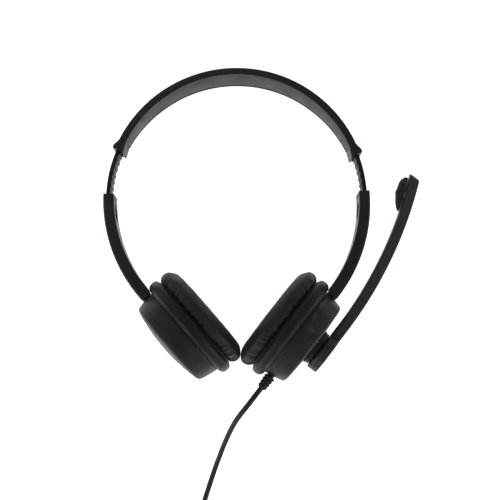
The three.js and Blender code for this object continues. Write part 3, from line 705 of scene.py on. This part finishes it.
# ---------------------------------------------------------------- ear cups
def build_cup(side):
    boom_side = side == "right"
    body = f"cup_{side}"
    wall = rounded([
        (31, 0.03, 0.3), (30.95, 1.2, 1), (30.6, 3.5, 6), (29.5, 9, 6), (28.6, 11.9, 0.9), (28.1, 12.4, 0.25),
        (27.75, 12.4, 0.12), (27.75, 11.2, 0), (5, 11.2, 0), (5, 9.9, 0), (27, 9.9, 1), (29.2, 0.03, 0.15),
    ], 4)
    housing = mesh_of(f"cup_housing_{side}_look", revolve(wall, 128))
    combine(housing, block(-22.9, -18.9, 0.7, 10.2, -4.6, 4.6), "UNION")
    mouth = rounded([(-1, 6.8, 0.3), (6.8, 6.8, 1), (6.8, -6.8, 1), (-1, -6.8, 0.3)])
    slot = loft([[(x, y, z) for y, z in mouth] for x in (-34, -24.5)])
    combine(housing, slot, "DIFFERENCE")
    across = turn("Z", -90)
    combine(housing, rod(2.25, 0, 12), "DIFFERENCE", shift(-26.4, PIVOT_OUT) @ across)
    for z in (20.5, -20.5):
        combine(housing, rod(1.3, 8, 13, z=z, segments=32), "DIFFERENCE")
    if boom_side:
        combine(housing, rod(2.65, 24, 34), "DIFFERENCE", shift(0, RELIEF_OUT) @ across)
    finished(housing, body, "satin_black_plastic", f"cup_housing_{side}", matrix=CUP[side])

    dome = 1.2 if boom_side else 3.2
    top = 12.9 + dome

    def height(r):
        return top - dome * (r / 27.4) ** 2

    first = 4.4 if boom_side else 0
    skin = [(r, height(r)) for r in steps(first, 26.3, 14)]
    groove = [(24.1, height(24.1)), (24.3, height(24.3) - 0.22)]
    groove += [(24.7, height(24.7) - 0.22), (24.9, height(24.9))]
    skin = [p for p in skin if not 23.8 < p[0] < 25.2] + groove
    skin.sort()
    edge = [(26.9, height(26.9) - 0.05), (27.2, height(27.2) - 0.18)]
    edge += [(27.38, 12.65), (27.4, 12.3), (27.4, 11.5)]
    under = [(25.6, 11.5)] + [(r, height(r) - 1.2) for r in steps(21, first, 6)]
    cover = mesh_of(f"cup_cover_{side}_look", revolve(skin + edge + under, 128))
    finished(cover, body, "satin_black_plastic", f"cup_cover_{side}", matrix=CUP[side], sharp=28)

    rim = rounded([
        (32.7, -8.2, 0.1), (34.1, -7.7, 1.2), (35.1, -6.4, 2), (BAFFLE_RADIUS, -4.4, 2.5), (35, -2.4, 1.6),
        (33.8, -1, 0.8), (32.3, -0.3, 0.3), (31.4, -0.3, 0.1), (31, -0.04, 0.1), (29.5, -0.04, 0.1),
        (29.5, -6.8, 0),
    ], 4)
    seat = [(15.6, -8.3), (15.7, -8.68), (32.6, -8.68), (32.7, -8.3)]
    profile = [(0, -8.3)] + seat + rim + [(0, -6.8)]
    baffle = mesh_of(f"baffle_{side}_look", revolve(profile, 128))
    for z in (20.5, -20.5):
        combine(baffle, rod(2.7, -7, -0.4, z=z, segments=32), "UNION")
        combine(baffle, rod(1.2, -5.6, 1, z=z, segments=24), "DIFFERENCE")
    for k in range(7):
        x, z = polar(6, 60 * k) if k else (0, 0)
        combine(baffle, rod(1.6, -9, -6, x, z, 24), "DIFFERENCE")
    finished(baffle, body, BAFFLE_LOOK, f"baffle_{side}", matrix=CUP[side])

    cloth = [(r, -9.02 + 0.06 * (1 - (r / 14.4) ** 2)) for r in steps(0, 14.4, 24)]
    cloth += [(14.7, -8.95), (14.7, -8.7), (14.5, -8.65), (0, -8.65)]
    disc = mesh_of(f"ear_cloth_{side}_look", revolve(cloth, 72))
    finished(disc, body, CLOTH[side], f"ear_cloth_{side}", matrix=CUP[side])


for side in SIDES:
    build_cup(side)


# ---------------------------------------------------------------- ear pads
PAD_SWELL = 0.3
TUCKS, TUCK_DEPTH, TUCK_REACH = 37, 0.0022, 4.5  # gathers round the back seam; their depth is in metres


def pad_profile(inset):
    """Half section of the stuffed ring, drawn in from its full size by inset."""
    rear = PAD_BACK - 0.05
    front = PAD_FACE + inset
    outer = PAD_RADIUS - inset
    hole = PAD_HOLE + inset
    return rounded([
        (15.9 + inset, rear, 0.8), (32.5 - inset, rear, 0.4), (34.6 - inset, -10.8, 1.8),
        (outer + 0.4, -12.8, 3), (outer + 0.25, -16, 4.5), (29.6 - inset, front, 7),
        (19.5, front, 6), (hole + 0.4, -17, 3), (hole, -11, 1.5),
    ], 5)


def evened(outline, spacing):
    """The closed outline again, with points at an even spacing."""
    closed = [Vector(p) for p in outline] + [Vector(outline[0])]
    lengths = [(b - a).length for a, b in zip(closed, closed[1:])]
    total = sum(lengths)
    count = round(total / spacing)
    points = []
    i, gone = 0, 0.0
    for k in range(count):
        wanted = total * k / count
        while gone + lengths[i] < wanted:
            gone += lengths[i]
            i += 1
        points.append(tuple(closed[i].lerp(closed[i + 1], (wanted - gone) / lengths[i])))
    return points


def stuffed(obj):
    """Swells the ring like foam under a tight skin, in metres; its back stays on the baffle."""
    rest = [v.co.copy() for v in obj.data.vertices]
    back = obj.vertex_groups.new(name="sewn")
    back.add([i for i, p in enumerate(rest) if p.y > (PAD_BACK - 0.4) / 1000], 1.0, "REPLACE")
    cloth = obj.modifiers.new("cloth", "CLOTH")
    s = cloth.settings
    s.quality = 6
    s.mass = 0.25
    s.tension_stiffness = s.compression_stiffness = 25
    s.shear_stiffness = 12
    s.bending_stiffness = 0.8
    s.use_pressure = True
    s.uniform_pressure_force = 8
    s.vertex_group_mass = "sewn"
    s.effector_weights.gravity = 0
    cloth.collision_settings.use_collision = False
    scene = bpy.context.scene
    for i in range(1, 21):
        scene.frame_set(i)
    applied(obj)
    scene.frame_set(1)
    for v, old in zip(obj.data.vertices, rest):
        step = v.co - old
        if step.length > PAD_SWELL / 1000:
            v.co = old + step.normalized() * PAD_SWELL / 1000


def build_pad(side):
    outline = evened(pad_profile(PAD_SWELL), 1.45)
    obj = mesh_of(f"ear_pad_{side}_look", revolve(outline, 150))
    obj.data.transform(Matrix.Scale(0.001, 4))
    stuffed(obj)
    fine = obj.modifiers.new("fine", "SUBSURF")
    fine.levels = fine.render_levels = 1
    applied(obj)
    lowest = (PAD_FACE + 0.03) / 1000
    seed = 7.0 if side == "left" else 3.0
    for v in obj.data.vertices:
        x, y, z = v.co
        r = math.hypot(x, z)
        out = Vector((x / r, 0, z / r))
        around = math.atan2(z, x)
        # the skin is gathered into the back seam, most at the lower half
        behind = max(0.0, -y * 1000 - 8.9)
        rim = max(0.0, min(1.0, (r * 1000 - 29) / 3))
        drift = noise.noise(Vector((out.x * 2.3, out.z * 2.3, seed)))
        uneven = noise.noise(Vector((out.x * 6.1 + seed, 1.7, out.z * 6.1)))
        tuck = (0.5 + 0.5 * math.cos(TUCKS * around + 11 * drift)) ** 1.6
        low = 0.5 + 0.5 * max(0.0, min(1.0, 0.45 + 0.9 * out.x + drift))
        depth = TUCK_DEPTH * tuck * low * (0.75 + 0.9 * uneven)
        v.co -= out * depth * rim * math.exp(-((behind / TUCK_REACH) ** 2))
        # soft uneven fullness further on
        swell = noise.noise(Vector((out.x * 5.2 + seed, y * 95, out.z * 5.2)))
        dent = noise.noise(Vector((out.x * 11 + seed, y * 150, out.z * 11)))
        shoulder = max(0.0, min(1.0, (r * 1000 - 26) / 6)) * (0.35 + 0.65 * low)
        v.co += out * (0.0007 * swell + 0.0004 * dent * math.exp(-behind / 6)) * shoulder
        v.co.y += 0.0002 * swell * (1 - shoulder) if y < -0.0105 else 0
        v.co.y = max(v.co.y, lowest)
    obj.data.transform(Matrix.Scale(1000, 4))
    finished(obj, f"cup_{side}", "leatherette", f"ear_pad_{side}", matrix=CUP[side], sharp=80)


for side in SIDES:
    build_pad(side)


# ---------------------------------------------------------------- boom microphone
def boom_point(distance, offset):
    bent = max(0, distance - BOOM_STRAIGHT) / BOOM_BEND
    straight = min(distance, BOOM_STRAIGHT)
    radius = BOOM_BEND + offset
    return -straight - radius * math.sin(bent), BOOM_LEVEL - BOOM_BEND + radius * math.cos(bent)


BOOM_REACH = BOOM_STRAIGHT + BOOM_LENGTH


def boom_plan():
    """Half widths of the boom seen from outside, as (distance from the pivot, half width)."""
    hub = [(HUB_RADIUS * -math.cos(a * DEG), HUB_RADIUS * math.sin(a * DEG)) for a in steps(0, 152, 22)]
    foot = 26
    start = hub[-1]
    arm = []
    for d in steps(start[0], BOOM_REACH - 3.2, 40):
        t = (d - start[0]) / (foot - start[0])
        base = 5.6 - 0.8 * max(0, d - foot) / (BOOM_REACH - foot)
        if d < foot:
            ease = (1 - t) ** 2
            base = 5.6 + (start[1] - 5.6) * ease
        arm.append((d, base))
    tip = []
    for a in steps(8, 90, 10):
        tip.append((BOOM_REACH - 3.2 + 3.2 * math.sin(a * DEG), 4.8 * math.cos(a * DEG) ** 0.55))
    return hub + arm[1:] + tip


def boom_half(low, high, outer):
    """One half of the boom: cross sections along it, rounded on the outside face."""
    rings = []
    edge = high if outer else low
    seam = low if outer else high
    fillet = 1.25
    for d, w in boom_plan():
        w = max(w, 0.02)
        f = min(fillet, w)
        sign = 1 if outer else -1
        ring = [(seam, -w)]
        for a in steps(0, 90, 6):
            level = edge - sign * fillet + sign * fillet * math.sin(a * DEG)
            ring.append((level, -(w - f + f * math.cos(a * DEG))))
        ring += [(level, -z) for level, z in reversed(ring)]
        # the tip is cut on a slant, longer on the mouth side
        near_tip = max(0, (d - BOOM_REACH + 8) / 8)
        back = [d - near_tip * 0.45 * (level + BOOM_THICK / 2) for level, z in ring]
        rings.append([(*boom_point(s, level), z) for s, (level, z) in zip(back, ring)])
    return loft(rings)


def build_boom():
    half = BOOM_THICK / 2
    bent = (MIC_AT - BOOM_STRAIGHT) / BOOM_BEND
    mic = boom_point(MIC_AT, -half)
    at_mic = shift(*mic) @ Matrix.Rotation(bent, 4, "Z") @ turn("X", 180)
    inner = mesh_of("boom_inner_half_look", boom_half(-half, -0.15, False))
    combine(inner, rod(4.2, 15, 25), "DIFFERENCE")
    combine(inner, rod(6, BOOM_LEVEL - 1.15, 25), "DIFFERENCE")
    combine(inner, rod(3.4, -2.9, 1), "DIFFERENCE", at_mic)
    finished(inner, "boom", BOOM_LOOK, "boom_inner_half", matrix=CUP["right"])
    outer = mesh_of("boom_outer_half_look", boom_half(0.15, half, True))
    combine(outer, rod(6, 19, BOOM_LEVEL + 1.3), "DIFFERENCE")
    finished(outer, "boom", BOOM_LOOK, "boom_outer_half", matrix=CUP["right"])

    dome = rounded([(10.6, 0.6, 0.3), (11.35, 1.1, 0.7), (11.1, 2.7, 2), (8.8, 4.7, 3.5), (5, 5.9, 5)], 5)
    profile = [(0, 0.6)] + dome + [(0, 6.15)]
    screen = mesh_of("mic_windscreen_look", revolve(profile, 72))
    for v in screen.data.vertices:
        v.co.z *= 0.5
    split = screen.modifiers.new("fine", "SUBSURF")
    split.levels = split.render_levels = 1
    applied(screen)
    for v in screen.data.vertices:
        if v.co.y > 0.9:
            v.co += v.co.normalized() * 0.1 * noise.noise(v.co * 1.3)
        # thinner towards the hub
        v.co.y = 0.6 + (v.co.y - 0.6) * (1 - 0.55 * max(0, v.co.x / 11.4))
    finished(screen, "boom", "foam_rubber", "mic_windscreen", matrix=CUP["right"] @ at_mic, sharp=60)

    low = 14.1
    base = rounded([
        (4.3, low + 0.4, 0.1), (11.8, low + 0.1, 0.15), (11.65, 15.1, 0.25), (11.1, 15.4, 0.2),
        (11.1, 16.6, 0.4), (10.7, 17.4, 0.25), (4.3, 17.4, 0.1),
    ], 4)
    ring = mesh_of("boom_base_look", revolve(base, 96))
    finished(ring, "cup_right", "satin_black_plastic", "boom_base", matrix=CUP["right"])


build_boom()


# ---------------------------------------------------------------- strain relief, tie and plug
def build_strain_relief():
    profile = [(0, 25), (3.8, 25), (3.8, 26.5), (2.3, 26.6), (2.3, 31.3)]
    for i in range(4):
        x = 31.4 + i * 2.15
        r = 3.55 - i * 0.16
        for a in steps(0, 180, 8):
            bulge = 0.45 * math.sin(a * DEG) ** 0.6
            profile.append((r - 0.45 + bulge, x + 0.1 + 1.5 * (1 - math.cos(a * DEG)) / 2))
        profile.append((r - 0.55, x + 1.85))
    profile += [(2.35, RELIEF_END - 0.3), (2.15, RELIEF_END), (0, RELIEF_END)]
    relief = mesh_of("strain_relief_look", revolve(profile, 48))
    # slots at the sides let the ribs flex
    place = shift(0, RELIEF_OUT) @ turn("Z", -90)
    for i in range(4):
        x = 32.2 + i * 2.15
        for quarter in (0, 180):
            notch = block(2.3, 4, x - 0.25, x + 0.25, -1.3, 1.3)
            combine(relief, notch, "DIFFERENCE", turn("Y", quarter + 45))
    finished(relief, "cup_right", "cord_rubber", "strain_relief", matrix=CUP["right"] @ place, sharp=40)


def build_tie():
    """A woven strap round all the turns, its end laid over itself on the outside."""
    inner_r, outer_r, low, high = 11.2, 26.9, 0.55, 15.6
    path = rounded([(inner_r, low, 1.6), (outer_r, low, 1.6), (outer_r, high, 1.6), (inner_r, high, 1.6)], 6)
    rings = []
    count = len(path)
    for i, (r, z) in enumerate(path):
        before, after = Vector(path[i - 1]), Vector(path[(i + 1) % count])
        along = (after - before).normalized()
        out = Vector((along.y, -along.x))
        ring = []
        for y, t in rounded([(-3.5, -0.4, 0.3), (3.5, -0.4, 0.3), (3.5, 0.4, 0.3), (-3.5, 0.4, 0.3)], 3):
            ring.append((r + out.x * t, y, z + out.y * t))
        rings.append(ring)
    tie = mesh_of("cord_tie_look", loft(rings, closed=True))
    flap = [(11.6, 16.0), (15, 16.05), (19, 16.1), (23, 16.05), (25.6, 15.95)]
    strap = rounded([(-3.4, -0.15, 0.1), (3.4, -0.15, 0.1), (3.4, 0.25, 0.2), (-3.4, 0.25, 0.2)], 3)
    tab = mesh_of("cord_tie_flap", loft([[(r, y, z + t) for y, t in strap] for r, z in flap]))
    place = shift(*COIL_CENTRE) @ turn("Z", TIE_TURN)
    finished(tie, "cup_right", "tie_fabric", "cord_tie", matrix=place)
    finished(tab, "cup_right", "tie_fabric", matrix=place)
    return tie, tab


def build_plug():
    place = Matrix.Translation((28.3, -249, 4.3))
    neck_and_grip = []
    for x, w, t, c in ((0, 2.3, 2.3, 2.25), (1, 2.4, 2.4, 2.35), (5, 2.75, 2.65, 2.5), (8.4, 3.2, 2.9, 2.6),
                       (9.4, 6.4, 3.5, 2.2), (10.6, 7.6, 4.0, 2.0), (12.5, 8, 4.1, 1.6), (20, 7.7, 4.0, 1.6),
                       (28, 8, 4.1, 1.6), (34.9, 8, 4.1, 1.6), (35.7, 7.8, 3.9, 1.4), (36, 7.4, 3.5, 1.2)):
        outline = rounded([(w, t, c), (-w, t, c), (-w, -t, c), (w, -t, c)], 5)
        neck_and_grip.append([(x, y, z) for y, z in outline])
    grip = mesh_of("usb_plug_grip_look", loft(neck_and_grip))
    combine(grip, block(31, 40, -6.3, 6.3, -2.55, 2.55), "DIFFERENCE")
    for k in range(5):
        for sign in (1, -1):
            rib = block(15 + k * 2.2, 16 + k * 2.2, -5, 5, sign * 4.0 - 0.35, sign * 4.0 + 0.35)
            combine(grip, rib, "DIFFERENCE")
    finished(grip, "cup_right", "cord_rubber", "usb_plug_grip", matrix=place)

    outline = rounded([(6, 2.25, 0.6), (-6, 2.25, 0.6), (-6, -2.25, 0.6), (6, -2.25, 0.6)], 4)
    bore = rounded([(5.65, 1.9, 0.35), (-5.65, 1.9, 0.35), (-5.65, -1.9, 0.35), (5.65, -1.9, 0.35)], 4)
    shell = mesh_of("usb_plug_shell_look", loft([[(x, y, z) for y, z in outline] for x in (31.3, 48)]))
    combine(shell, loft([[(x, y, z) for y, z in bore] for x in (32, 49)]), "DIFFERENCE")
    for y in (2.6, -2.6):
        combine(shell, block(40, 42.4, y - 1.1, y + 1.1, -3, 3), "DIFFERENCE")
    finished(shell, "cup_right", "plug_steel", "usb_plug_shell", matrix=place)

    tongue = bevelled(mesh_of("usb_plug_tongue_look", block(32.4, 47.4, -5.3, 5.3, -1.6, 0.15)), 0.15, 2)
    finished(tongue, "cup_right", "plug_insulator", "usb_plug_tongue", matrix=place)
    parts = [grip, shell, tongue]
    for k, y in enumerate((-3.5, -1, 1, 3.5)):
        contact = mesh_of(f"usb_contact_{k}", block(37, 46.6, y - 0.5, y + 0.5, 0.16, 0.3))
        bevelled(contact, 0.05, 2)
        parts.append(finished(contact, "cup_right", "plug_steel", matrix=place))
    return parts


build_strain_relief()
tie, flap = build_tie()
plug = build_plug()

# ---------------------------------------------------------------- carried-over CAD nodes
STEEL_NODES = (
    "headband_spring", "tilt_pin", "swivel_clip", "cup_screw", "driver_frame", "driver_magnet", "mic_capsule",
    "boom_axle", "boom_screw",
)
LOOKS_OF_NODES = dict.fromkeys(STEEL_NODES, "steel")
LOOKS_OF_NODES.update(knuckle="strip_plastic", driver_diaphragm="speaker_film", terminal_board="board")
for name, node in frame["nodes"].items():
    if node.hide_render:
        continue
    look = next(value for key, value in LOOKS_OF_NODES.items() if name.startswith(key))
    node.data.materials.clear()
    node.data.materials.append(LOOK[look])

# ---------------------------------------------------------------- floor, light and surroundings
FLOOR_REACH, FLOOR_DROP = 40, 0.0003
floor_look = Finish("floor")
shade = floor_look.mix(floor_look.noise(3, 2), (0.9, 0.9, 0.9, 1), (0.92, 0.92, 0.92, 1))
floor_look.done(Base_Color=shade, Roughness=0.7, Emission_Color=(1, 1, 1, 1), Emission_Strength=0.8)
floor_corners = [(x * FLOOR_REACH, y * FLOOR_REACH, 0) for x, y in ((-1, -1), (1, -1), (1, 1), (-1, 1))]
floor = mesh_of("floor", (floor_corners, [(0, 1, 2, 3)]))
floor.location.z = -FLOOR_DROP
floor.data.materials.append(floor_look.material)


def softbox(name, place, size, power):
    data = bpy.data.lights.new(name, "AREA")
    data.shape = "RECTANGLE"
    data.size, data.size_y = size
    data.energy = power
    lamp = bpy.data.objects.new(name, data)
    bpy.context.scene.collection.objects.link(lamp)
    lamp.location = place
    lamp.rotation_euler = (Vector() - lamp.location).to_track_quat("-Z", "Y").to_euler()


softbox("key", (-0.5, 0.9, 0.9), (0.9, 0.5), 2.5)
softbox("fill_right", (0.95, 0.1, 0.55), (0.4, 1.0), 1)
softbox("fill_left", (-0.95, -0.1, 0.55), (0.4, 1.0), 1)
softbox("low", (0.0, -1.0, 0.5), (1.0, 0.4), 1)
softbox("strip_left", (-0.85, -0.75, 0.5), (0.14, 0.8), 4)
softbox("strip_right", (0.85, -0.75, 0.5), (0.14, 0.8), 4)

world = bpy.data.worlds.new("surroundings")
world.use_nodes = True
# dim and even all round, because it is what black plastic reflects
backdrop = world.node_tree.nodes["Background"]
backdrop.inputs["Color"].default_value = (0.93, 1, 1.07, 1)
backdrop.inputs["Strength"].default_value = 0.42
bpy.context.scene.world = world
bpy.context.scene.view_settings.view_transform = "Standard"
